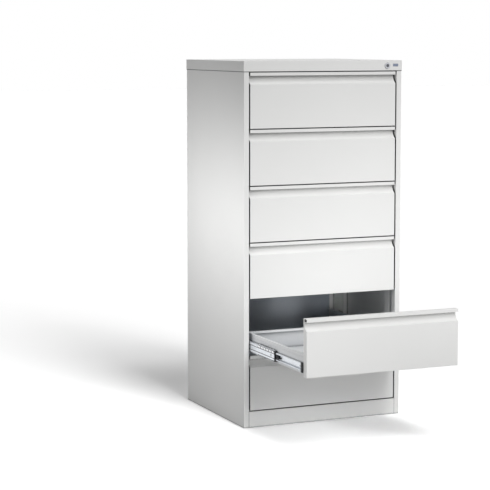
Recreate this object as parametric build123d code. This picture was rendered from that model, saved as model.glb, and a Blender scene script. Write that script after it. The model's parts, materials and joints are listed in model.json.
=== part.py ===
from build123d import *
import math
import os

os.makedirs("parts", exist_ok=True)

# A six-drawer filing cabinet of folded sheet steel, in millimetres.
# The origin is on the floor under the middle of the carcass.
# X runs to the right as seen from the front, Y to the back and Z up.
# Drawers are counted from the top. One drawer stands open.

# Drawers and the gaps round their fronts
drawer_count = 6
open_drawer = 5
front_width = 600.0
front_height = 205.0
front_thickness = 26.0
front_gap = 4.0
side_gap = 5.0

# Grip along the top of each front
lip_height = 12.0
grip_depth = 20.0
grip_drop = 32.0

# Carcass
depth = 560.0
post_width = 20.0
post_depth = 26.0
post_hem = 4.0
plinth_height = 61.0
plinth_fold = 18.0
plinth_seam = 0.8
cover_edge = 38.0
cover_skirt_gap = 0.5
cover_hem = 18.0
back_fold = 12.0
sheet = 1.0
edge_radius = 0.8

# Wall anchor holes in the back panel
anchor_spacing = 400.0
anchor_radius = 4.0
anchor_below_top = 77.0

# Uprights that carry the slides
upright_width = 40.0
front_upright_setback = 44.0
rear_upright_setback = 85.0

# Trays
tray_height = 70.0
tray_floor_rise = 8.0
tray_back_gap = 25.0
rim_width = 10.0
rim_drop = 8.0
tray_flange = 15.0
slide_space = 13.0

# Telescopic slides
rail_height = 46.0
rail_sheet = 1.2
track_gap = 3.3
web_gap = 1.1
lip_gap = 0.5
rail_rise = 32.5
rail_back_gap = 8.0
rail_engagement = 80.0
middle_shorter = 20.0
middle_share = 0.55
rail_groove_height = 14.0
rail_groove_depth = 0.6

# Plastic bumpers and caps on the slides
bumper_length = 14.0
bumper_height = 36.0
bumper_gap = 1.0
cap_length = 4.0
cap_stand_out = 0.5
cap_window_gap = 0.4

# Lock
lock_from_side = 61.0
lock_below_top = 20.0
bezel_radius = 11.0
bezel_height = 3.0
barrel_radius = 9.0
barrel_hole_gap = 0.1
plug_radius = 6.0
plug_gap = 0.05
plug_stand_out = 0.3
key_slot_width = 1.8
key_slot_height = 8.0
key_slot_depth = 9.0
nut_across_flats = 24.0
nut_thickness = 4.0
tail_width = 6.0
cam_gap = 0.5
cam_to_head = 3.0
cam_thickness = 2.5
cam_hub_radius = 7.0
cam_reach = 10.0
cam_swing = 90.0
cam_arm_width = 9.0
pin_radius = 2.5
pin_slot_gap = 0.5
pin_past_plate = 2.0

# Lock bar and its tabs
bar_thickness = 2.0
bar_width = 14.0
bar_from_post = 5.0
bar_behind_post = 2.0
bar_past_tab = 10.0
bar_below_cover = 2.0
head_height = 15.0
head_overlap = 8.0
tab_reach = 13.0
tab_height = 9.0
tab_thickness = 2.0
tab_setback = 8.0
tab_above_catch = 2.0
catch_gap = 2.0
catch_length = 10.0
catch_height = 9.0
catch_reach = 8.0
catch_rise = 67.0
guide_height = 8.0
guide_gap = 0.3
guide_cheek = 1.7
guide_drawers = (1, 3, 6)

# Front rail under the cover
rail_fold = 20.0
top_rail_rise = 2.0

# Places that follow from the sizes
drawer_pitch = front_height + front_gap
post_x = front_width / 2 + side_gap
side_x = post_x + post_width
rest_opening = depth - rail_engagement
front_y = -depth / 2
back_y = depth / 2
height = plinth_height + drawer_count * drawer_pitch + front_gap + cover_edge
cover_bottom = height - cover_edge
shell_top = height - sheet
post_back = front_y + post_depth
back_inside = back_y - sheet
liner_back = front_y + front_thickness
tray_back = back_inside - tray_back_gap
tray_x = post_x - slide_space
front_upright_y = front_y + front_upright_setback
rear_upright_y = back_inside - rear_upright_setback - upright_width

# Slide sections, measured from the inner face of the posts
cabinet_web_x = post_x - rail_sheet
middle_web_out = cabinet_web_x - web_gap
middle_web_in = middle_web_out - rail_sheet
inner_lip_x = middle_web_in - web_gap
inner_web_x = tray_x + rail_sheet
middle_height = rail_height - 2 * (rail_sheet + track_gap)
inner_height = middle_height - 2 * (rail_sheet + track_gap)
cap_front = liner_back + bumper_length + bumper_gap
rail_front = cap_front + cap_length
cabinet_rail_back = back_inside - rail_back_gap
middle_back = cabinet_rail_back - middle_shorter
inner_rail_back = tray_back - rail_back_gap

# Lock places
lock_x = side_x - lock_from_side
lock_z = height - lock_below_top
skirt_front = front_y - cover_skirt_gap - sheet
bar_inner_x = post_x + bar_from_post
bar_outer_x = bar_inner_x + bar_thickness
bar_front = post_back + bar_behind_post
bar_back = bar_front + bar_width
cam_back = bar_front - cam_to_head
cam_front = cam_back - cam_thickness
barrel_back = cam_front - cam_gap
pin_x = lock_x - cam_reach * math.cos(math.radians(cam_swing / 2))
pin_z = lock_z - cam_reach * math.sin(math.radians(cam_swing / 2))
bar_lift = 2 * (lock_z - pin_z)
bar_top = shell_top - sheet - bar_below_cover - bar_lift
tab_y = bar_front + tab_setback
catch_y = tab_y + tab_thickness + catch_gap


def front_bottom(drawer):
    """Height of the lower edge of a drawer's front."""
    first = cover_bottom - front_gap - front_height
    return first - (drawer - 1) * drawer_pitch


def opened(drawer):
    """How far a drawer stands out at rest."""
    return rest_opening if drawer == open_drawer else 0.0


def tab_bottom(drawer):
    """Height of a tab's lower edge while the lock is open."""
    return front_bottom(drawer) + catch_rise + tab_above_catch - bar_lift


def block(x0, x1, y0, y1, z0, z1):
    """A square-edged solid between two opposite corners."""
    middle = Pos((x0 + x1) / 2, (y0 + y1) / 2, (z0 + z1) / 2)
    return middle * Box(x1 - x0, y1 - y0, z1 - z0)


def rod(x, z, y0, y1, radius):
    """A round bar along Y."""
    turned = Location((x, (y0 + y1) / 2, z), (90, 0, 0))
    return turned * Cylinder(radius, y1 - y0)


def other_side(solid):
    """The same piece on the left of the cabinet."""
    return mirror(solid, about=Plane.YZ)


def edges_at(solid, along, across, place, also=None, level=None):
    """The edges along one axis that lie at a place on another."""
    found = solid.edges().filter_by(along).filter_by_position(across, place - 0.01, place + 0.01)
    if also is not None:
        found = found.filter_by_position(also, level - 0.01, level + 0.01)
    return found


def straight_edges_at(solid, across, place):
    """All straight edges that lie in a plane across one axis."""
    return solid.edges().filter_by(GeomType.LINE).filter_by_position(across, place - 0.01, place + 0.01)


def save(name, *pieces):
    """Write one node, as one solid or as a group of them."""
    solids = [solid for piece in pieces for solid in piece.solids()]
    shape = solids[0] if len(solids) == 1 else Compound(children=solids)
    export_step(shape, f"parts/{name}.step")


# Carcass

def side_panel():
    """Right side: skin, front post, rear fold and folds at top and foot."""
    panel = block(side_x - sheet, side_x, front_y, back_y, 0, shell_top)
    panel += block(post_x, side_x, front_y, front_y + sheet, 0, shell_top)
    panel += block(post_x, post_x + sheet, front_y, post_back, 0, shell_top)
    panel += block(post_x, post_x + post_hem, post_back - sheet, post_back, 0, shell_top)
    panel += block(post_x, side_x, back_inside - sheet, back_inside, 0, shell_top)
    panel += block(post_x, side_x, post_back, back_inside, shell_top - sheet, shell_top)
    panel += block(post_x, side_x, post_back, back_inside, 0, sheet)
    folds = edges_at(panel, Axis.Z, Axis.Y, front_y, Axis.X, side_x)
    folds += edges_at(panel, Axis.Z, Axis.Y, front_y, Axis.X, post_x)
    return fillet(folds, edge_radius)


def back_panel():
    """Plate between the side skins, folded forward at top and foot, with two anchor holes."""
    inside = side_x - sheet
    panel = block(-inside, inside, back_inside, back_y, 0, shell_top)
    fold_front = back_inside - back_fold
    panel += block(-post_x, post_x, fold_front, back_inside, shell_top - sheet, shell_top)
    panel += block(-post_x, post_x, fold_front, back_inside, 0, sheet)
    for side in (-1, 1):
        hole_x = side * anchor_spacing / 2
        panel -= rod(hole_x, height - anchor_below_top, fold_front, back_y + sheet, anchor_radius)
    return panel


def top_cover():
    """Lid with a turned-down edge all round and a hem behind the front edge."""
    out_x = side_x + cover_skirt_gap + sheet
    out_y = back_y + cover_skirt_gap + sheet
    cover = block(-out_x, out_x, -out_y, out_y, cover_bottom, height)
    inner_x = out_x - sheet
    inner_y = out_y - sheet
    cover -= block(-inner_x, inner_x, -inner_y, inner_y, cover_bottom, shell_top)
    hem_x = post_x - plinth_seam
    cover += block(-hem_x, hem_x, -inner_y, cover_hem - inner_y, cover_bottom, cover_bottom + sheet)
    corners = edges_at(cover, Axis.Z, Axis.Y, -out_y) + edges_at(cover, Axis.Z, Axis.Y, out_y)
    rims = edges_at(cover, Axis.X, Axis.Z, height) + edges_at(cover, Axis.Y, Axis.Z, height)
    cover = fillet(corners + rims, edge_radius)
    return cover - rod(lock_x, lock_z, -out_y, -inner_y, barrel_radius + barrel_hole_gap)


def base_panel():
    """Pan at floor level with its four edges folded up."""
    pan_front = front_y + plinth_fold
    pan_back = back_inside - back_fold
    rim = plinth_height - sheet
    pan = block(-post_x, post_x, pan_front, pan_back, 0, rim)
    return pan - block(sheet - post_x, post_x - sheet, pan_front + sheet, pan_back - sheet, sheet, rim)


def plinth_panel():
    """Front of the plinth, folded back along its top and its foot."""
    end_x = post_x - plinth_seam
    fold_back = front_y + plinth_fold
    panel = block(-end_x, end_x, front_y, front_y + sheet, 0, plinth_height)
    panel += block(-end_x, end_x, front_y, fold_back + sheet, plinth_height - sheet, plinth_height)
    panel += block(-end_x, end_x, front_y, fold_back, 0, sheet)
    return fillet(edges_at(panel, Axis.X, Axis.Z, plinth_height, Axis.Y, front_y), edge_radius)


def front_top_rail():
    """Channel between the posts, behind the cover's front edge, that carries the lock."""
    low = cover_bottom + top_rail_rise
    rail = block(-post_x, post_x, front_y, front_y + rail_fold, low, shell_top)
    rail -= block(-post_x, post_x, front_y + sheet, front_y + rail_fold, low + sheet, shell_top - sheet)
    return rail - rod(lock_x, lock_z, front_y, front_y + sheet, barrel_radius + barrel_hole_gap)


def upright(low_y):
    """Channel on the right side panel that carries the cabinet rails."""
    top = shell_top - sheet
    channel = block(post_x, side_x - sheet, low_y, low_y + upright_width, sheet, top)
    hollow_x = post_x + sheet
    return channel - block(hollow_x, side_x, low_y + sheet, low_y + upright_width - sheet, sheet, top)


# Slides, all drawn for the right side

def cabinet_rail(drawer):
    """Outer member of a slide, fixed to the uprights."""
    mid = front_bottom(drawer) + rail_rise
    low = mid - rail_height / 2
    high = mid + rail_height / 2
    lip_x = tray_x + lip_gap
    rail = block(lip_x, post_x, rail_front, cabinet_rail_back, low, high)
    low += rail_sheet
    high -= rail_sheet
    return rail - block(lip_x, cabinet_web_x, rail_front, cabinet_rail_back, low, high)


def middle_rail(drawer):
    """Middle member of a slide, with a groove along its outer face."""
    mid = front_bottom(drawer) + rail_rise
    low = mid - middle_height / 2
    high = mid + middle_height / 2
    lip_x = inner_web_x + lip_gap
    rail = block(lip_x, middle_web_out, rail_front, middle_back, low, high)
    rail -= block(lip_x, middle_web_in, rail_front, middle_back, low + rail_sheet, high - rail_sheet)
    groove_x = middle_web_out - rail_groove_depth
    half = rail_groove_height / 2
    return rail - block(groove_x, middle_web_out, rail_front, middle_back, mid - half, mid + half)


def middle_cap(drawer):
    """Plastic collar on the front end of a middle rail."""
    mid = front_bottom(drawer) + rail_rise
    half = middle_height / 2 + cap_stand_out
    window = inner_height / 2 + cap_window_gap
    out_x = cabinet_web_x - lip_gap
    lip_x = inner_web_x + lip_gap
    cap = block(lip_x, out_x, cap_front, rail_front, mid - half, mid + half)
    window_x = inner_lip_x + cap_window_gap
    return cap - block(lip_x, window_x, cap_front, rail_front, mid - window, mid + window)


def inner_rail(drawer):
    """Inner member of a slide, fixed to the side of the tray."""
    mid = front_bottom(drawer) + rail_rise
    low = mid - inner_height / 2
    high = mid + inner_height / 2
    rail = block(tray_x, inner_lip_x, liner_back, inner_rail_back, low, high)
    low += rail_sheet
    high -= rail_sheet
    return rail - block(inner_web_x, inner_lip_x, liner_back, inner_rail_back, low, high)


def bumper(drawer):
    """Plastic stop plugged into the front end of the inner rail."""
    mid = front_bottom(drawer) + rail_rise
    end = liner_back + bumper_length
    plug_half = inner_height / 2 - rail_sheet
    plug = block(inner_web_x, inner_lip_x, liner_back, end, mid - plug_half, mid + plug_half)
    half = bumper_height / 2
    return plug + block(inner_lip_x, cabinet_web_x, liner_back, end, mid - half, mid + half)


# Drawers

def front_section(inset, rear):
    """Side outline of a front, drawn in by the sheet's thickness for its hollow."""
    grip_radius = (grip_depth ** 2 + grip_drop ** 2) / (2 * grip_depth)
    centre_y = grip_depth - grip_radius
    radius = grip_radius + inset
    drop = math.sqrt(radius ** 2 - (inset - centre_y) ** 2)
    half_turn = math.atan2(drop, inset - centre_y) / 2
    grip_top = (centre_y + radius, -lip_height)
    grip_middle = (centre_y + radius * math.cos(half_turn), -lip_height - radius * math.sin(half_turn))
    grip_low = (inset, -lip_height - drop)
    corners = [
        grip_low,
        (inset, inset - front_height),
        (rear, inset - front_height),
        (rear, -inset),
        (inset, -inset),
        (inset, inset - lip_height),
    ]
    if inset > 0:
        corners.append((centre_y + radius, inset - lip_height))
    corners.append(grip_top)
    grip = ThreePointArc(grip_top, grip_middle, grip_low)
    return make_face([*grip.edges(), *Polyline(*corners).edges()])


def front_prism(inset, rear, half_width, top):
    """A front's outline carried across the drawer."""
    side_plane = Plane(origin=(-half_width, front_y, top), x_dir=(0, 1, 0), z_dir=(1, 0, 0))
    return extrude(side_plane * front_section(inset, rear), 2 * half_width)


def drawer_front(drawer):
    """Folded skin of a front: face, grip, lip and closed ends."""
    top = front_bottom(drawer) + front_height
    half = front_width / 2
    skin = front_prism(0, front_thickness, half, top)
    skin = fillet(straight_edges_at(skin, Axis.Y, front_y), edge_radius)
    skin -= front_prism(sheet, front_thickness, half - sheet, top)
    lip_low = top - lip_height + sheet
    hollow_back = front_y + grip_depth - sheet
    return skin - block(-half, half, front_y + sheet, hollow_back, lip_low, top - sheet)


def drawer_liner(drawer):
    """Plate that closes the back of a front."""
    low = front_bottom(drawer)
    half = front_width / 2 - sheet
    return block(-half, half, liner_back - sheet, liner_back, low + sheet, low + front_height - sheet)


def drawer_tray(drawer):
    """Welded pan with a folded rim and flanges to the liner."""
    low = front_bottom(drawer) + tray_floor_rise
    rim = low + tray_height
    tray = block(-tray_x, tray_x, liner_back, tray_back, low, rim)
    inside = tray_x - sheet
    tray -= block(-inside, inside, liner_back, tray_back - sheet, low + sheet, rim)
    collar = block(-tray_x, tray_x, liner_back, tray_back, rim - rim_drop, rim)
    opening_x = tray_x - rim_width
    collar -= block(-opening_x, opening_x, liner_back, tray_back - rim_width, rim - rim_drop, rim)
    gutter_x = opening_x + sheet
    gutter_y = tray_back - rim_width + sheet
    gutter = block(-inside, inside, liner_back, tray_back - sheet, rim - rim_drop, rim - sheet)
    gutter -= block(-gutter_x, gutter_x, liner_back, gutter_y, rim - rim_drop, rim - sheet)
    tray += collar - gutter
    flange_top = rim - rim_drop - sheet
    flange = block(inside - tray_flange, inside, liner_back, liner_back + sheet, low + sheet, flange_top)
    tray += flange
    tray += other_side(flange)
    return fillet(edges_at(tray, Axis.Y, Axis.Z, rim), edge_radius)


def tray_catch(drawer):
    """Block riveted to the tray's right side, held by a tab of the bar while locked."""
    low = front_bottom(drawer) + catch_rise
    return block(tray_x, tray_x + catch_reach, catch_y, catch_y + catch_length, low, low + catch_height)


# Lock

def lock_housing():
    """Bezel and barrel with the bore for the plug."""
    housing = rod(lock_x, lock_z, skirt_front, barrel_back, barrel_radius)
    housing += rod(lock_x, lock_z, skirt_front - bezel_height, skirt_front, bezel_radius)
    rim = housing.edges().filter_by(GeomType.CIRCLE).sort_by(Axis.Y)[0]
    housing = fillet(rim, edge_radius)
    return housing - rod(lock_x, lock_z, skirt_front - bezel_height, barrel_back, plug_radius + plug_gap)


def lock_nut():
    """Hexagon nut that holds the barrel against the front rail."""
    plane = Plane(origin=(lock_x, front_y + sheet, lock_z), x_dir=(1, 0, 0), z_dir=(0, 1, 0))
    corner_radius = nut_across_flats / 2 / math.cos(math.pi / 6)
    nut = extrude(plane * RegularPolygon(corner_radius, 6), nut_thickness)
    nut_end = front_y + sheet + nut_thickness
    return nut - rod(lock_x, lock_z, front_y + sheet, nut_end, barrel_radius + barrel_hole_gap)


def lock_plug():
    """Turning plug with a key slot and a square tail."""
    face = skirt_front - bezel_height - plug_stand_out
    plug = rod(lock_x, lock_z, face, barrel_back, plug_radius)
    half_slot = key_slot_width / 2
    half_high = key_slot_height / 2
    slot_end = face + key_slot_depth
    low = lock_z - half_high
    high = lock_z + half_high
    plug -= block(lock_x - half_slot, lock_x + half_slot, face, slot_end, low, high)
    half = tail_width / 2
    return plug + block(lock_x - half, lock_x + half, barrel_back, cam_back, lock_z - half, lock_z + half)


def lock_cam():
    """Plate on the plug's tail with a drive pin, at rest low and to the left."""
    cam = rod(lock_x, lock_z, cam_front, cam_back, cam_hub_radius)
    cam += rod(pin_x, pin_z, cam_front, cam_back, cam_arm_width / 2)
    middle = ((lock_x + pin_x) / 2, (cam_front + cam_back) / 2, (lock_z + pin_z) / 2)
    arm = Location(middle, (0, -cam_swing / 2, 0)) * Box(cam_reach, cam_thickness, cam_arm_width)
    cam += arm
    cam += rod(pin_x, pin_z, cam_back, bar_front + bar_thickness + pin_past_plate, pin_radius)
    half = tail_width / 2
    return cam - block(lock_x - half, lock_x + half, cam_front, cam_back, lock_z - half, lock_z + half)


def lock_bar():
    """Straight flat bar that runs down behind the right post."""
    bottom = tab_bottom(drawer_count) - bar_past_tab
    return block(bar_inner_x, bar_outer_x, bar_front, bar_back, bottom, bar_top)


def bar_head():
    """Slotted plate at the bar's top end, moved by the cam's pin."""
    slot_half = pin_radius + pin_slot_gap
    slot_left = lock_x - cam_reach - slot_half
    slot_right = pin_x + slot_half
    low = pin_z - head_height / 2
    plate_back = bar_front + bar_thickness
    plate = block(slot_left - head_overlap, bar_inner_x, bar_front, plate_back, low, low + head_height)
    return plate - block(slot_left, slot_right, bar_front, plate_back, pin_z - slot_half, pin_z + slot_half)


def bar_tab(drawer):
    """Tab that rises in front of a drawer's catch when the lock turns."""
    low = tab_bottom(drawer)
    return block(bar_inner_x - tab_reach, bar_inner_x, tab_y, tab_y + tab_thickness, low, low + tab_height)


def bar_guide(drawer):
    """Plastic guide on the side panel in which the bar slides."""
    mid = front_bottom(drawer) + front_height * 3 / 4
    low = mid - guide_height / 2
    high = mid + guide_height / 2
    front_of_guide = bar_front - guide_cheek
    back_of_guide = bar_back + guide_cheek
    guide = block(bar_inner_x - guide_cheek, side_x - sheet, front_of_guide, back_of_guide, low, high)
    left = bar_inner_x - guide_gap
    right = bar_outer_x + guide_gap
    return guide - block(left, right, bar_front - guide_gap, bar_back + guide_gap, low, high)


# Carcass nodes
right_side = side_panel()
save("right_side_panel", right_side)
save("left_side_panel", other_side(right_side))
save("back_panel", back_panel())
save("top_cover", top_cover())
save("base_panel", base_panel())
save("plinth_panel", plinth_panel())
save("front_top_rail", front_top_rail())
right_uprights = [upright(front_upright_y), upright(rear_upright_y)]
save("right_slide_uprights", *right_uprights)
save("left_slide_uprights", *[other_side(one) for one in right_uprights])
drawers = range(1, drawer_count + 1)
right_rails = [cabinet_rail(drawer) for drawer in drawers]
save("right_cabinet_rails", *right_rails)
save("left_cabinet_rails", *[other_side(rail) for rail in right_rails])

# Lock nodes
save("lock_housing", lock_housing())
save("lock_nut", lock_nut())
save("lock_plug", lock_plug())
save("lock_cam", lock_cam())
save("lock_bar", lock_bar())
save("lock_bar_fittings", bar_head(), *[bar_tab(drawer) for drawer in drawers])
save("bar_guides", *[bar_guide(drawer) for drawer in guide_drawers])

# Drawer nodes
for drawer in drawers:
    out = Pos(0, -opened(drawer), 0)
    half_out = Pos(0, -opened(drawer) * middle_share, 0)
    save(f"drawer_{drawer}_front", out * drawer_front(drawer))
    save(f"drawer_{drawer}_liner", out * drawer_liner(drawer))
    save(f"drawer_{drawer}_tray", out * drawer_tray(drawer), out * tray_catch(drawer))
    rail = out * inner_rail(drawer)
    save(f"drawer_{drawer}_rails", rail, other_side(rail))
    stop = out * bumper(drawer)
    save(f"drawer_{drawer}_rail_bumpers", stop, other_side(stop))
    middle = half_out * middle_rail(drawer)
    save(f"drawer_{drawer}_middle_rails", middle, other_side(middle))
    cap = half_out * middle_cap(drawer)
    save(f"drawer_{drawer}_middle_rail_caps", cap, other_side(cap))
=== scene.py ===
import json
import math

import bmesh
import bpy
from mathutils import Matrix, Vector


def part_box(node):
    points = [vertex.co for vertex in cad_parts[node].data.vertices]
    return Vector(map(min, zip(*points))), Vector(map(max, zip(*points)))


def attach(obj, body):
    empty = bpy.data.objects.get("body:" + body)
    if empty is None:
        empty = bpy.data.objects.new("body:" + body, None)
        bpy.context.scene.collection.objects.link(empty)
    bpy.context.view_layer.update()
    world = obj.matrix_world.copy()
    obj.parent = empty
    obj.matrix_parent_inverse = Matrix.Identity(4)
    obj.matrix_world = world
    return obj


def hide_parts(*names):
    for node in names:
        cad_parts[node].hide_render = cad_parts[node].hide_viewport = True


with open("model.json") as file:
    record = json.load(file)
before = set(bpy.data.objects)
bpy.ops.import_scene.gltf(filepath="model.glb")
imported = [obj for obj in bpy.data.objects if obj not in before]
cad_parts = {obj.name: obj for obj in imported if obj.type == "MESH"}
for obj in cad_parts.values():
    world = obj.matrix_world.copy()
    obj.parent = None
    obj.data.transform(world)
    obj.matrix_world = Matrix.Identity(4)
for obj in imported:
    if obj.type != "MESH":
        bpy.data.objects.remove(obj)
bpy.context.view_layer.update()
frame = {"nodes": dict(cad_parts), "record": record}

# A six-drawer steel filing cabinet with one drawer open. Lengths are in metres, and angles in degrees.

nodes = frame["nodes"]
scene = bpy.context.scene
drawers = range(1, 7)
sides = (-1, 1)

# Camera at the photograph's viewing angle. The lens is in millimetres, and the shift in picture widths.
camera_place = (-2.825, -5.993, 1.437)
camera_lens = 125.8
camera_yaw = 23.667
camera_pitch = 5.374
camera_shift = -0.0918

# Floor, with one colour for what it reflects onto the cabinet and one for what is seen of it
floor_size = 80.0
floor_level = -0.0004
floor_colour = (0.50, 0.50, 0.50)
floor_seen = (1.50, 1.50, 1.50)

# Even light from the world, and the level at which the world is seen
ambient_level = 0.19
white_level = 1.0
white = (1.0, 1.0, 1.0, 1.0)

# Suns of the key light: heights above the horizon, width and strength of each, and the slant to the left
key_heights = (28.0, 42.0, 56.0, 66.0)
key_angle = 18.0
key_strength = 0.5375
key_aside = 0.144

# Colours of the paints, and of the painted shade in seams, inside the cabinet's shell and in the trays
paint_colour = (0.80, 0.80, 0.79)
paint_shade = (0.70, 0.71, 0.72)
seam_shade_colour = (0.045, 0.046, 0.050)
inside_shade_colour = (0.27, 0.32, 0.39)
tray_colour = (0.74, 0.75, 0.76)
tray_shade_colour = (0.24, 0.26, 0.29)

# Colours of the metals, the grease and the plastics. The grease also serves as painted shade in grooves
# and recesses, the plug's colour is painted shade for its keyway, and the shadow gap colour is painted shade
# in joints
slide_colour = (0.80, 0.83, 0.87)
zinc_colour = (0.62, 0.64, 0.67)
chrome_colour = (0.50, 0.51, 0.54)
plug_shade_colour = (0.15, 0.155, 0.17)
ball_colour = (0.80, 0.81, 0.83)
plate_colour = (0.22, 0.25, 0.32)
grease_shade_dark = (0.05, 0.055, 0.065)
grease_shade_pale = (0.14, 0.15, 0.165)
plastic_colour = (0.010, 0.011, 0.013)
shadow_gap_colour = (0.030, 0.031, 0.034)

# How far the painted shade in corners and seams reaches, and how many rays look for it
inside_shade_reach = 0.5
tray_shade_reach = 0.12
seam_shade_reach = 0.014
steel_shade_reach = 0.006
reach_samples = 6

# The part of a noise's range that holds most of its values
noise_low = 0.3
noise_high = 0.7

# Shell of the cabinet, within which the carcass paint turns darker with painted shade
shell_half_width = 0.3035
shell_front = -0.262
shell_back = 0.2795
shell_floor = 0.062

# Section of the middle rails: distances out from the cabinet's middle, and heights from the rail's middle
rail_sheet = 0.0012
middle_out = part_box("drawer_1_middle_rails")[1].x
middle_web_out = middle_out - 0.00055
middle_lip_end = middle_out - 0.0090
middle_bend = 0.0028
groove_out = middle_out - 0.0008
groove_low = 0.0070
groove_top = 0.0096
groove_low_slope = 0.0004
groove_top_slope = 0.0008

# Section of the inner rails, which lie against the tray's wall
inner_back = -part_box("drawer_1_tray")[0].x
inner_front = inner_back + rail_sheet
inner_lip_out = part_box("drawer_1_rails")[1].x
inner_bend = 0.0022
inner_return = 0.0098

# Steps in the round parts of the sections, and in the rounded edges of blocks
bend_steps = 5
tight_bend_steps = 3
bevel_segments = 2

# Ball cages of the slides
cage_sheet = 0.0005
cage_gap = 0.00005
cage_setback = 0.003
cage_slot_half = 0.0018
cage_rim = 0.0014
cage_upper_leg = 0.0095
cage_lower_leg = 0.0025
bridge_half_length = 0.0022
ball_radius = 0.0015
ball_segments = 12
ball_rows = 8

# Pockets in the cages' upper legs
pocket_count = 6
pocket_pitch = 0.0235
pocket_length = 0.0180
pocket_slant = 0.0055
pocket_top = 0.0010
pocket_bottom = 0.0084
pocket_inset = 0.0006

# Rings pressed in the middle rails. Each row has the distance behind the rail's front, the height from its
# middle, the radius, the width, the angles of both ends, and whether there is grease on it.
ring_rise = 0.0004
ring_steps = 16
pressed_rings = (
    (0.030, -0.001, 0.0036, 0.0022, 0, 360, True),
    (0.026, -0.001, 0.0105, 0.0016, 125, 235, False),
    (0.115, 0.0, 0.0040, 0.0016, 0, 360, False),
)

# Release levers: body, ridge, tongue and hook. Each row has distances out from the inner rail's web,
# distances behind the lever's front, heights from the rail's middle, and the rounding of the edges.
lever_front = -0.048
lever_blocks = (
    ((0.0002, 0.0058), (0.0, 0.020), (-0.0055, 0.0055), 0.0009),
    ((0.0057, 0.0066), (0.004, 0.017), (-0.0012, 0.0012), 0.0004),
    ((0.0002, 0.0030), (-0.011, 0.001), (-0.0040, -0.0008), 0.0006),
    ((0.0002, 0.0050), (-0.011, -0.008), (-0.0046, 0.0016), 0.0007),
)

# Screws of the inner rails, at places behind the rail's front. The profile is in shares of radius and height.
screw_radius = 0.0036
screw_height = 0.0011
screw_places = (0.040, 0.230, 0.420)
screw_segments = 20
screw_profile = ((1.0, 0.0), (1.0, 0.35), (0.86, 0.75), (0.55, 1.0))

# Dark cross let into each screw's head, painted shade for its recess. Its arms are shares of the head's
# radius.
cross_half_length = 0.55
cross_half_width = 0.13
cross_sunk = 0.0001
cross_rise = 0.00005

# Beads pressed along the trays' sides
bead_below_rim = 0.0125
bead_half = 0.0016
bead_rise = 0.0013
bead_root = 0.0005
bead_steps = 6
bead_inset = 0.002

# Plate on the cover beside the lock, and its two pins
plate_width = 0.022
plate_height = 0.010
plate_thickness = 0.0007
plate_from_lock = 0.035
plate_above_lock = 0.002
plate_bevel = 0.0003
pin_radius = 0.0006
pin_inset = 0.002

# Dark strip in the joint under the cover, painted shade for its shadow gap
cover_gap_height = 0.0022
cover_gap_width = 0.0014
cover_gap_stand_out = 0.0008
cover_gap_bevel = 0.0002

# Dark lines at the plinth's ends, painted shade for the joints' shadow gaps
plinth_gap_width = 0.0011
plinth_gap_depth = 0.001
plinth_gap_stand_out = 0.0001
plinth_gap_end = 0.001
plinth_gap_bevel = 0.00005


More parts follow.
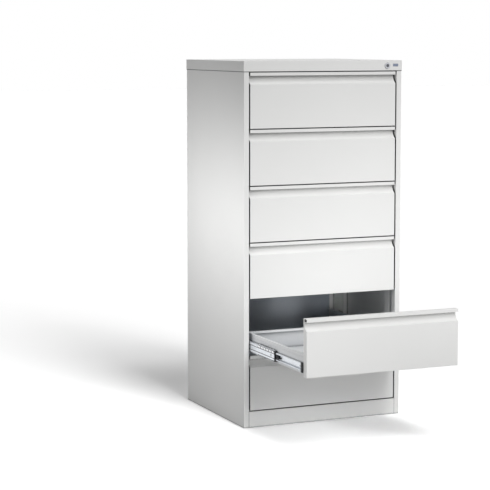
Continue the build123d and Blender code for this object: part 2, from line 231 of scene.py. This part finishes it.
class Surface:
    """A node material and short ways to add to it."""

    def __init__(self, name):
        self.material = bpy.data.materials.new(name)
        self.material.use_nodes = True
        self.nodes = self.material.node_tree.nodes
        self.shader = self.nodes["Principled BSDF"]
        self.place = self.nodes.new("ShaderNodeTexCoord").outputs["Object"]

    def feed(self, socket, value):
        """A socket gets a number, a colour or another node's output."""
        if isinstance(value, float):
            socket.default_value = value
        elif isinstance(value, tuple):
            socket.default_value = (*value, 1.0)
        else:
            self.material.node_tree.links.new(value, socket)

    def set(self, name, value):
        """One of the shader's own sockets gets a number or another node's output."""
        self.feed(self.shader.inputs[name], value)

    def noise(self, grain, detail, stretch=(1.0, 1.0, 1.0)):
        """Noise with blotches of about that size, drawn out along an axis by its stretch."""
        scaling = self.nodes.new("ShaderNodeMapping")
        scaling.inputs["Scale"].default_value = [1.0 / share for share in stretch]
        texture = self.nodes.new("ShaderNodeTexNoise")
        texture.inputs["Scale"].default_value = 1.0 / grain
        texture.inputs["Detail"].default_value = detail
        self.feed(scaling.inputs["Vector"], self.place)
        self.feed(texture.inputs["Vector"], scaling.outputs["Vector"])
        return texture.outputs["Fac"]

    def spread(self, value, low, high):
        """The middle of a noise stretched to lie between two values."""
        node = self.nodes.new("ShaderNodeMapRange")
        node.inputs["From Min"].default_value = noise_low
        node.inputs["From Max"].default_value = noise_high
        node.inputs["To Min"].default_value = low
        node.inputs["To Max"].default_value = high
        self.feed(node.inputs["Value"], value)
        return node.outputs["Result"]

    def openness(self, reach, closed, clear):
        """One where nothing stands within reach, down to zero in seams and under folds."""
        node = self.nodes.new("ShaderNodeAmbientOcclusion")
        node.samples = reach_samples
        node.inputs["Distance"].default_value = reach
        ramp = self.nodes.new("ShaderNodeMapRange")
        ramp.inputs["From Min"].default_value = closed
        ramp.inputs["From Max"].default_value = clear
        self.feed(ramp.inputs["Value"], node.outputs["AO"])
        return ramp.outputs["Result"]

    def outside_or(self, value):
        """One on the faces outside the cabinet's shell, and the value on those within it."""
        parts = self.nodes.new("ShaderNodeSeparateXYZ")
        self.feed(parts.inputs["Vector"], self.place)
        across = self.math("ABSOLUTE", parts.outputs["X"])
        beside = self.math("GREATER_THAN", across, shell_half_width)
        ahead = self.math("LESS_THAN", parts.outputs["Y"], shell_front)
        behind = self.math("GREATER_THAN", parts.outputs["Y"], shell_back)
        below = self.math("LESS_THAN", parts.outputs["Z"], shell_floor)
        for mask in (beside, ahead, behind, below):
            value = self.math("MAXIMUM", value, mask)
        return value

    def math(self, operation, first, second=0.0):
        """A sum or comparison of two values, each a number or another node's output."""
        node = self.nodes.new("ShaderNodeMath")
        node.operation = operation
        self.feed(node.inputs[0], first)
        self.feed(node.inputs[1], second)
        return node.outputs[0]

    def mix(self, factor, first, second):
        """A colour between two colours, each a tuple or another node's output."""
        node = self.nodes.new("ShaderNodeMix")
        node.data_type = "RGBA"
        colours = [socket for socket in node.inputs if socket.type == "RGBA"]
        self.feed(node.inputs["Factor"], factor)
        self.feed(colours[0], first)
        self.feed(colours[1], second)
        return next(socket for socket in node.outputs if socket.type == "RGBA")

    def bump(self, height, depth, strength, below=None):
        """A bump of that depth, on top of another bump where one is given."""
        node = self.nodes.new("ShaderNodeBump")
        node.inputs["Distance"].default_value = depth
        node.inputs["Strength"].default_value = strength
        self.feed(node.inputs["Height"], height)
        if below is not None:
            self.feed(node.inputs["Normal"], below)
        return node.outputs["Normal"]


def scaled(colour, share):
    """A colour made darker or paler by a factor."""
    return tuple(value * share for value in colour)


def drawn_out(axis, share):
    """A noise's stretch along one axis, or along none."""
    return tuple(share if letter == axis else 1.0 for letter in "XYZ")


def powder_coat(name, colour, painted_shade_colour=None, reach=None, shell_only=False):
    """Satin powder coat: faint clouds and a fine orange peel, with painted shade in seams.

    A coat with a painted shade colour turns to it in corners of that reach, and shell_only keeps that to the
    inside.
    """
    made = Surface(name)
    clouds = made.spread(made.noise(grain=0.22, detail=3.0), low=0.0, high=1.0)
    specks = made.spread(made.noise(grain=0.0012, detail=1.0), low=0.0, high=0.12)
    body = made.mix(clouds, colour, scaled(colour, 0.985))
    coat = made.mix(specks, body, paint_shade)
    # Painted shade: the coat turns to the shade colour where other parts stand within reach
    if painted_shade_colour is not None:
        unshaded_share = made.openness(reach, closed=0.1, clear=0.8)
        if shell_only:
            unshaded_share = made.outside_or(unshaded_share)
        coat = made.mix(unshaded_share, painted_shade_colour, coat)
    # Painted shade in seams, in the gaps between parts and under the lips
    seam_shade = made.openness(seam_shade_reach, closed=0.45, clear=0.70)
    peel = made.bump(made.noise(grain=0.0024, detail=1.5), depth=0.00006, strength=0.5)
    fine_peel = made.bump(made.noise(grain=0.0007, detail=1.0), depth=0.00001, strength=0.5, below=peel)
    made.set("Base Color", made.mix(seam_shade, seam_shade_colour, coat))
    made.set("Roughness", made.spread(made.noise(grain=0.012, detail=2.0), low=0.40, high=0.47))
    made.set("Normal", fine_peel)
    made.set("Specular IOR Level", 0.42)
    return made.material


def zinc_steel(name, colour, along):
    """Bright zinc-plated strip with rolling lines along one axis, with painted shade in its corners."""
    made = Surface(name)
    lines = made.noise(grain=0.0009, detail=3.0, stretch=drawn_out(along, 40.0))
    spangle = made.spread(made.noise(grain=0.006, detail=2.0), low=0.0, high=0.5)
    bright = made.mix(spangle, colour, scaled(colour, 0.80))
    # Painted shade in the rails' corners
    corner_shade = made.openness(steel_shade_reach, closed=0.25, clear=0.65)
    made.set("Base Color", made.mix(corner_shade, scaled(colour, 0.30), bright))
    made.set("Roughness", made.spread(lines, low=0.24, high=0.42))
    made.set("Normal", made.bump(lines, depth=0.00002, strength=0.5))
    made.set("Metallic", 0.85)
    return made.material


def black_plastic(name, colour):
    """Moulded black plastic with a fine spark grain."""
    made = Surface(name)
    sparks = made.noise(grain=0.0005, detail=2.0)
    made.set("Base Color", made.mix(made.spread(sparks, low=0.0, high=0.5), colour, scaled(colour, 2.2)))
    made.set("Roughness", made.spread(sparks, low=0.42, high=0.6))
    made.set("Normal", made.bump(sparks, depth=0.00003, strength=0.6))
    made.set("Specular IOR Level", 0.25)
    return made.material


def grease(name):
    """Dark grease drawn out along the tracks, which also stands as painted shade in the rails' grooves, the
    cages' legs and the screws' recesses.
    """
    made = Surface(name)
    streaks = made.noise(grain=0.002, detail=3.0, stretch=drawn_out("Y", 12.0))
    made.set("Base Color", made.mix(made.spread(streaks, low=0.0, high=1.0), grease_shade_dark, grease_shade_pale))
    made.set("Roughness", made.spread(streaks, low=0.25, high=0.5))
    made.set("Normal", made.bump(streaks, depth=0.00005, strength=0.4))
    return made.material


def polished_metal(name, colour, rough, lines_along=None):
    """Plated or brushed metal with faint handling marks."""
    made = Surface(name)
    marks = made.noise(grain=0.0006, detail=2.0, stretch=drawn_out(lines_along, 60.0))
    made.set("Base Color", made.mix(made.spread(marks, low=0.0, high=0.4), colour, scaled(colour, 0.85)))
    made.set("Roughness", made.spread(marks, low=rough * 0.8, high=rough * 1.3))
    made.set("Normal", made.bump(marks, depth=0.00001, strength=0.3))
    made.set("Metallic", 1.0)
    return made.material


def piece(name, mesh, body, slot, *materials):
    """A piece of the cabinet made from a bmesh, riding on a body."""
    data = bpy.data.meshes.new(name)
    mesh.to_mesh(data)
    mesh.free()
    for material in materials:
        data.materials.append(material)
    made = bpy.data.objects.new(name, data)
    scene.collection.objects.link(made)
    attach(made, body)
    return made


def add_block(mesh, x, y, z, bevel=0.0, material=0):
    """A block that fills a stretch of each axis, its edges rounded. A stretch may run either way."""
    ranges = (x, y, z)
    middle = Vector([(start + end) / 2 for start, end in ranges])
    size = [abs(end - start) for start, end in ranges]
    placing = Matrix.Translation(middle) @ Matrix.Diagonal((*size, 1.0))
    made = bmesh.ops.create_cube(mesh, size=1.0, matrix=placing)
    faces = {face for vert in made["verts"] for face in vert.link_faces}
    for face in faces:
        face.material_index = material
    if bevel > 0:
        edges = list({edge for face in faces for edge in face.edges})
        bmesh.ops.bevel(mesh, geom=edges, offset=bevel, segments=bevel_segments, affect="EDGES", profile=0.5)


def add_ball(mesh, centre, radius, material=0):
    """A smooth ball."""
    made = bmesh.ops.create_uvsphere(mesh, u_segments=ball_segments, v_segments=ball_rows, radius=radius,
                                     matrix=Matrix.Translation(centre))
    for face in {face for vert in made["verts"] for face in vert.link_faces}:
        face.material_index = material
        face.smooth = True


def loft(mesh, loops, material=0):
    """A closed solid through loops of points, each with as many points as the others."""
    rings = [[mesh.verts.new(point) for point in loop] for loop in loops]
    faces = [mesh.faces.new(rings[0][::-1]), mesh.faces.new(rings[-1])]
    for first, second in zip(rings, rings[1:]):
        for place in range(len(first)):
            after = (place + 1) % len(first)
            faces.append(mesh.faces.new((first[place], first[after], second[after], second[place])))
    for face in faces:
        face.material_index = material
    bmesh.ops.recalc_face_normals(mesh, faces=faces)
    return faces


def add_strip(mesh, outline, start, end):
    """A strip with that closed outline in X and Z, drawn from one Y to another."""
    return loft(mesh, [[(x, y, z) for x, z in outline] for y in (start, end)])


def arc(centre_x, centre_z, radius, start, end, steps=bend_steps):
    """Points on part of a circle in X and Z, from one angle to another."""
    points = []
    for step in range(steps + 1):
        angle = math.radians(start + (end - start) * step / steps)
        points.append((centre_x + radius * math.cos(angle), centre_z + radius * math.sin(angle)))
    return points


def middle_outline(half):
    """Half of the middle rail's section, from its web up to the end of its lip and back."""
    web_in = middle_web_out - rail_sheet
    bend = (middle_out - middle_bend, half - middle_bend)
    outside = [
        (middle_web_out, 0.0),
        (middle_web_out, groove_low),
        (groove_out, groove_low + groove_low_slope),
        (groove_out, groove_top - groove_top_slope),
        (middle_out, groove_top),
    ]
    outside += arc(*bend, middle_bend, 0, 90)
    outside.append((middle_lip_end, half))
    inside = [(middle_lip_end, half - rail_sheet)]
    inside += arc(*bend, middle_bend - rail_sheet, 90, 0)
    inside += [(middle_out - rail_sheet, groove_top), (web_in, groove_low), (web_in, 0.0)]
    return outside, inside


def inner_outline(half):
    """Half of the inner rail's section, from its web up round its turned-in lip and back."""
    tight_bend = inner_bend - rail_sheet
    bend_height = half - inner_bend
    outside = [(inner_front, 0.0)]
    outside += arc(inner_front + tight_bend, bend_height, tight_bend, 180, 90, tight_bend_steps)
    outside += arc(inner_lip_out - inner_bend, bend_height, tight_bend, 90, 0, tight_bend_steps)
    outside.append((inner_lip_out - rail_sheet, inner_return))
    inside = [(inner_lip_out, inner_return)]
    inside += arc(inner_lip_out - inner_bend, bend_height, inner_bend, 0, 90)
    inside += arc(inner_back + inner_bend, bend_height, inner_bend, 90, 180)
    inside.append((inner_back, 0.0))
    return outside, inside


def whole_outline(halves, middle, side):
    """A section from its upper half, mirrored below the rail's middle, on one side of the cabinet."""
    outside, inside = halves
    upper = outside + inside
    lower = [(x, -z) for x, z in outside[1:] + inside[:-1]]
    return [(side * x, middle + z) for x, z in upper + lower[::-1]]


def in_groove(face, middle):
    """Whether a face of a rail lies in one of the middle rail's grooves, which hold grease that also serves
    as painted shade.
    """
    centre = face.calc_center_median()
    return groove_low < abs(centre.z - middle) < groove_top and abs(centre.x) > middle_out - rail_sheet


def rails(drawer, name, body, section):
    """A pair of rails in their rolled section, in place of their plain solids."""
    node = f"drawer_{drawer}_{name}"
    low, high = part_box(node)
    middle = (low.z + high.z) / 2
    halves = section((high.z - low.z) / 2)
    mesh = bmesh.new()
    for side in sides:
        for face in add_strip(mesh, whole_outline(halves, middle, side), low.y, high.y):
            face.material_index = int(in_groove(face, middle))
    made = piece(f"{node}_rolled", mesh, body, "slide_steel", slide_steel, track_grease_and_shade)
    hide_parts(node)


def ball_cages(drawer):
    """Cages with their balls round the front of a drawer's middle rails."""
    low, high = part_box(f"drawer_{drawer}_middle_rails")
    start = low.y + cage_setback
    along = (start, start + pocket_count * pocket_pitch)
    pocket_places = [start + (place + 0.5) * pocket_pitch for place in range(pocket_count)]
    track = (middle_lip_end + middle_out) / 2
    slot = (track - cage_slot_half, track + cage_slot_half)
    leg = (middle_out + cage_gap, middle_out + cage_gap + cage_sheet / 2)
    # The cages' legs take the dark grease coat, partly grease and partly painted shade between the bright
    # pockets
    steel, bright, greased = range(3)
    mesh = bmesh.new()
    for side in sides:
        for edge, up, leg_length in ((high.z, 1, cage_upper_leg), (low.z, -1, cage_lower_leg)):
            shelf = edge + up * ball_radius
            sheet = (shelf - cage_sheet / 2, shelf + cage_sheet / 2)
            add_block(mesh, [side * x for x in leg], along, (edge - up * leg_length, shelf), material=greased)
            for rim in ((slot[0] - cage_rim, slot[0]), (slot[1], leg[1])):
                add_block(mesh, [side * x for x in rim], along, sheet, material=steel)
            for y in pocket_places:
                bridge = (y - bridge_half_length, y + bridge_half_length)
                add_block(mesh, [side * x for x in slot], bridge, sheet, material=steel)
                for ball_y in (y - pocket_pitch / 4, y + pocket_pitch / 4):
                    centre = (side * track, ball_y, edge + up * (ball_radius + cage_gap))
                    add_ball(mesh, centre, ball_radius, bright)
        for y in pocket_places:
            add_pocket(mesh, side, leg[1], y, high.z, bright)
    piece(f"drawer_{drawer}_ball_cages", mesh, f"drawer_{drawer}_middle", "slide_steel",
          slide_steel, ball_steel, track_grease_and_shade)


def add_pocket(mesh, side, out, y, top, material):
    """A slanted pocket pressed out of a cage's leg, under the rail's top edge."""
    half = pocket_length / 2
    lean = pocket_slant / 2
    low = top - pocket_bottom
    high = top - pocket_top
    loops = []
    for x, inset in ((out, 0.0), (out + cage_sheet / 2, pocket_inset)):
        loops.append([
            (side * x, y - half - lean + inset, low + inset),
            (side * x, y + half - lean - inset, low + inset),
            (side * x, y + half + lean - inset, high - inset),
            (side * x, y - half + lean + inset, high - inset),
        ])
    loft(mesh, loops, material)


def add_ring(mesh, side, y, z, radius, width, start, end, material):
    """A low ring on a middle rail's web, or a part of one between two angles."""
    section = ((0.0, -width / 2), (ring_rise, -width / 4), (ring_rise, width / 4), (0.0, width / 2))
    loops = []
    for step in range(ring_steps + 1):
        angle = math.radians(start + (end - start) * step / ring_steps)
        loop = []
        for rise, away in section:
            x = side * (middle_web_out + rise)
            reach = radius + away
            loop.append((x, y + reach * math.cos(angle), z + reach * math.sin(angle)))
        loops.append(loop)
    loft(mesh, loops, material)


def rail_marks(drawer):
    """Pressed rings near the front of the middle rails."""
    low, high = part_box(f"drawer_{drawer}_middle_rails")
    middle = (low.z + high.z) / 2
    mesh = bmesh.new()
    for side in sides:
        for behind, height, radius, width, start, end, greased in pressed_rings:
            add_ring(mesh, side, low.y + behind, middle + height, radius, width, start, end, int(greased))
    piece(f"drawer_{drawer}_rail_marks", mesh, f"drawer_{drawer}_middle", "slide_steel",
          slide_steel, track_grease_and_shade)


def opening(drawer):
    """How far a drawer stands out at rest. Drawer 1 is closed."""
    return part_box("drawer_1_front")[0].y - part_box(f"drawer_{drawer}_front")[0].y


def release_levers(drawer):
    """Black levers in the inner rails that let the drawer come off its slides."""
    low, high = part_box(f"drawer_{drawer}_rails")
    middle = (low.z + high.z) / 2
    front = lever_front - opening(drawer)
    mesh = bmesh.new()
    for side in sides:
        for out, along, up, bevel in lever_blocks:
            add_block(mesh, [side * (inner_front + x) for x in out], [front + y for y in along],
                      [middle + z for z in up], bevel)
    piece(f"drawer_{drawer}_release_levers", mesh, f"drawer_{drawer}", "black_plastic", plastic)


def add_screw(mesh, side, y, z):
    """A domed head with a dark cross, painted shade for its recess, facing out from an inner rail's web."""
    loops = []
    for share, level in screw_profile:
        x = side * (inner_front + screw_height * level)
        reach = screw_radius * share
        loop = []
        for place in range(screw_segments):
            angle = 2 * math.pi * place / screw_segments
            loop.append((x, y + reach * math.cos(angle), z + reach * math.sin(angle)))
        loops.append(loop)
    loft(mesh, loops)
    top = inner_front + screw_height
    long = screw_radius * cross_half_length
    short = screw_radius * cross_half_width
    for half_y, half_z in ((long, short), (short, long)):
        add_block(mesh, (side * (top - cross_sunk), side * (top + cross_rise)),
                  (y - half_y, y + half_y), (z - half_z, z + half_z), material=1)


def rail_screws(drawer):
    """Pan-head screws that hold the inner rails to the tray."""
    low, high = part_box(f"drawer_{drawer}_rails")
    mesh = bmesh.new()
    for side in sides:
        for place in screw_places:
            add_screw(mesh, side, low.y + place, (low.z + high.z) / 2)
    piece(f"drawer_{drawer}_rail_screws", mesh, f"drawer_{drawer}", "slide_steel", plain_zinc, track_grease_and_shade)


def tray_beads(drawer):
    """Pressed beads along the outer sides of a tray, under its rim and as long as its rails."""
    low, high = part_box(f"drawer_{drawer}_rails")
    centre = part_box(f"drawer_{drawer}_tray")[1].z - bead_below_rim
    wall = inner_back
    curve = [(wall - bead_root, centre - bead_half), (wall, centre - bead_half)]
    for step in range(1, bead_steps):
        angle = math.pi * (step / bead_steps - 0.5)
        curve.append((wall + bead_rise * math.cos(angle), centre + bead_half * math.sin(angle)))
    curve += [(wall, centre + bead_half), (wall - bead_root, centre + bead_half)]
    mesh = bmesh.new()
    for side in sides:
        add_strip(mesh, [(side * x, z) for x, z in curve], low.y + bead_inset, high.y)
    piece(f"drawer_{drawer}_tray_beads", mesh, f"drawer_{drawer}", "tray_paint", tray_paint)


def bare_plate():
    """Small bare plate with two pins, on the cover beside the lock."""
    low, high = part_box("lock_housing")
    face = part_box("top_cover")[0].y
    x = (low.x + high.x) / 2 + plate_from_lock
    z = (low.z + high.z) / 2 + plate_above_lock
    half_width = plate_width / 2
    half_height = plate_height / 2
    mesh = bmesh.new()
    add_block(mesh, (x - half_width, x + half_width), (face - plate_thickness, face),
              (z - half_height, z + half_height), plate_bevel)
    for side in sides:
        pin = (x + side * (half_width - pin_inset), face - plate_thickness, z)
        add_ball(mesh, pin, pin_radius, material=1)
    piece("bare_plate", mesh, "carcass", "zinc_steel", brushed_plate, ball_steel)


def cover_shadow_gap():
    """Dark strip in the joint under the cover's skirt, round the side panels: painted shade for the shadow
    gap there.
    """
    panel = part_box("right_side_panel")[1]
    out = panel.x + cover_gap_stand_out
    front = panel.y + cover_gap_stand_out
    out_in = out - cover_gap_width
    front_in = front - cover_gap_width
    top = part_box("top_cover")[0].z
    up = (top - cover_gap_height, top)
    mesh = bmesh.new()
    for side in sides:
        add_block(mesh, (side * out_in, side * out), (-front, front), up, cover_gap_bevel)
        add_block(mesh, (-out_in, out_in), (side * front_in, side * front), up, cover_gap_bevel)
    piece("cover_shadow_gap", mesh, "carcass", "black_plastic", shadow_gap_dark)


def plinth_shadow_gaps():
    """Dark lines in the joints between the plinth and the posts, painted shade for their shadow gaps."""
    low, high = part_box("plinth_panel")
    mesh = bmesh.new()
    for side in sides:
        add_block(mesh, (side * high.x, side * (high.x + plinth_gap_width)),
                  (low.y - plinth_gap_stand_out, low.y + plinth_gap_depth),
                  (low.z + plinth_gap_end, high.z - plinth_gap_end), plinth_gap_bevel)
    piece("plinth_shadow_gaps", mesh, "carcass", "black_plastic", shadow_gap_dark)


def seen_ray(tree):
    """One for camera, glossy and transmission rays, nothing for the others."""
    path = tree.nodes.new("ShaderNodeLightPath")
    result = path.outputs["Is Camera Ray"]
    for other in ("Is Glossy Ray", "Is Transmission Ray"):
        larger = tree.nodes.new("ShaderNodeMath")
        larger.operation = "MAXIMUM"
        tree.links.new(result, larger.inputs[0])
        tree.links.new(path.outputs[other], larger.inputs[1])
        result = larger.outputs[0]
    return result


def blend_by_ray(tree, unseen, seen, output):
    """An output gets one shader where it lights the object, and another where it is seen."""
    blend = tree.nodes.new("ShaderNodeMixShader")
    tree.links.new(seen_ray(tree), blend.inputs["Fac"])
    tree.links.new(unseen.outputs[0], blend.inputs[1])
    tree.links.new(seen.outputs[0], blend.inputs[2])
    tree.links.new(blend.outputs[0], tree.nodes[output].inputs["Surface"])


def add_floor():
    """Pale floor that is white where it is lit and keeps the cabinet's shadow."""
    bpy.ops.mesh.primitive_plane_add(size=floor_size, location=(0, 0, floor_level))
    floor = bpy.context.object
    floor.name = "floor"
    material = bpy.data.materials.new("floor")
    material.use_nodes = True
    tree = material.node_tree
    tree.nodes.remove(tree.nodes["Principled BSDF"])
    plain = tree.nodes.new("ShaderNodeBsdfDiffuse")
    plain.inputs["Color"].default_value = (*floor_colour, 1.0)
    pale = tree.nodes.new("ShaderNodeBsdfDiffuse")
    pale.inputs["Color"].default_value = (*floor_seen, 1.0)
    blend_by_ray(tree, plain, pale, "Material Output")
    floor.data.materials.append(material)


def set_world():
    """Even light all round, seen as white behind the cabinet."""
    world = bpy.data.worlds.new("world")
    scene.world = world
    world.use_nodes = True
    tree = world.node_tree
    light = tree.nodes["Background"]
    light.inputs["Color"].default_value = white
    light.inputs["Strength"].default_value = ambient_level
    backdrop = tree.nodes.new("ShaderNodeBackground")
    backdrop.inputs["Color"].default_value = white
    backdrop.inputs["Strength"].default_value = white_level
    blend_by_ray(tree, light, backdrop, "World Output")


def add_sun(name, towards, angle, strength):
    """An even, soft light from far away."""
    data = bpy.data.lights.new(name, "SUN")
    data.angle = math.radians(angle)
    data.energy = strength
    lamp = bpy.data.objects.new(name, data)
    lamp.rotation_euler = Vector(towards).to_track_quat("-Z", "Y").to_euler()
    scene.collection.objects.link(lamp)


def add_key():
    """Soft light from a tall strip at the front right, made of suns at several heights."""
    for place, height in enumerate(key_heights):
        rise = math.radians(height)
        towards = (-key_aside * math.cos(rise), math.cos(rise), -math.sin(rise))
        add_sun(f"key_{place + 1}", towards, key_angle, key_strength)


def add_lamp(name, place, target, width, height, power, spread):
    """A soft lamp that faces a point and isn't seen itself."""
    data = bpy.data.lights.new(name, "AREA")
    data.shape = "RECTANGLE"
    data.size = width
    data.size_y = height
    data.energy = power
    data.spread = math.radians(spread)
    lamp = bpy.data.objects.new(name, data)
    lamp.location = place
    lamp.rotation_euler = (Vector(target) - Vector(place)).to_track_quat("-Z", "Y").to_euler()
    lamp.visible_camera = False
    lamp.visible_glossy = False
    scene.collection.objects.link(lamp)


def add_fills():
    """Weak lamps on each side. Most are far out and narrow, so an open drawer gets little more light."""
    add_lamp("front_fill", place=(1.14, -3.72, 0.80), target=(0.26, -0.28, 0.80),
             width=0.4, height=0.4, power=0.88, spread=27.0)
    add_lamp("low_fill", place=(-0.05, -3.86, 0.60), target=(-0.05, -0.34, -0.03),
             width=0.7, height=0.1, power=0.19, spread=7.0)
    add_lamp("left_fill", place=(-2.28, -3.6, 0.50), target=(0.18, 0.0, 0.42),
             width=0.3, height=0.3, power=0.26, spread=15.0)
    add_lamp("back_fill", place=(0.4, 3.2, 0.9), target=(0.0, 0.28, 0.90),
             width=0.5, height=0.4, power=0.7, spread=34.0)
    add_lamp("right_fill", place=(3.2, 0.2, 0.9), target=(0.33, 0.0, 0.90),
             width=0.4, height=0.4, power=0.7, spread=34.0)
    add_lamp("side_fill", place=(-1.00, -0.15, 0.86), target=(-0.325, -0.05, 0.72),
             width=1.2, height=0.15, power=2.60, spread=118.0)


def add_camera():
    """Camera at the photograph's viewing angle."""
    data = bpy.data.cameras.new("camera")
    data.lens = camera_lens
    data.shift_y = camera_shift
    camera = bpy.data.objects.new("camera", data)
    camera.location = camera_place
    camera.rotation_euler = (math.radians(90 - camera_pitch), 0, math.radians(-camera_yaw))
    scene.collection.objects.link(camera)
    scene.camera = camera


# Materials
carcass_paint = powder_coat("carcass_paint", paint_colour, inside_shade_colour, inside_shade_reach, shell_only=True)
front_paint = powder_coat("front_paint", paint_colour)
tray_paint = powder_coat("tray_paint", tray_colour, tray_shade_colour, tray_shade_reach)
slide_steel = zinc_steel("slide_steel", slide_colour, along="Y")
plain_zinc = zinc_steel("plain_zinc", zinc_colour, along="Z")
chrome = polished_metal("lock_chrome", chrome_colour, rough=0.18)
plug_keyway_shade = polished_metal("plug_keyway_shade", plug_shade_colour, rough=0.25)
ball_steel = polished_metal("ball_steel", ball_colour, rough=0.10)
brushed_plate = polished_metal("brushed_plate", plate_colour, rough=0.30, lines_along="X")
track_grease_and_shade = grease("track_grease_and_shade")
plastic = black_plastic("black_plastic", plastic_colour)
# Dark strips in the joints, painted shade for their shadow gaps
shadow_gap_dark = black_plastic("shadow_gap_dark", shadow_gap_colour)

# The CAD nodes get the material of their slot, and the lock's plug a darker one, painted shade for its keyway
slot_materials = {
    "carcass_paint": carcass_paint,
    "front_paint": front_paint,
    "tray_paint": tray_paint,
    "slide_steel": slide_steel,
    "zinc_steel": plain_zinc,
    "lock_chrome": chrome,
    "black_plastic": plastic,
}
for part in frame["record"]["subparts"]:
    for filled in nodes[part["node"]].material_slots:
        filled.material = slot_materials[part["material_slot"]]
for filled in nodes["lock_plug"].material_slots:
    filled.material = plug_keyway_shade

# Pieces
for drawer in drawers:
    tray_beads(drawer)
    rails(drawer, "middle_rails", f"drawer_{drawer}_middle", middle_outline)
    rails(drawer, "rails", f"drawer_{drawer}", inner_outline)
    ball_cages(drawer)
    rail_marks(drawer)
    release_levers(drawer)
    rail_screws(drawer)
bare_plate()
cover_shadow_gap()
plinth_shadow_gaps()

# Stage
add_floor()
set_world()
add_key()
add_fills()
add_camera()
scene.view_settings.view_transform = "Standard"
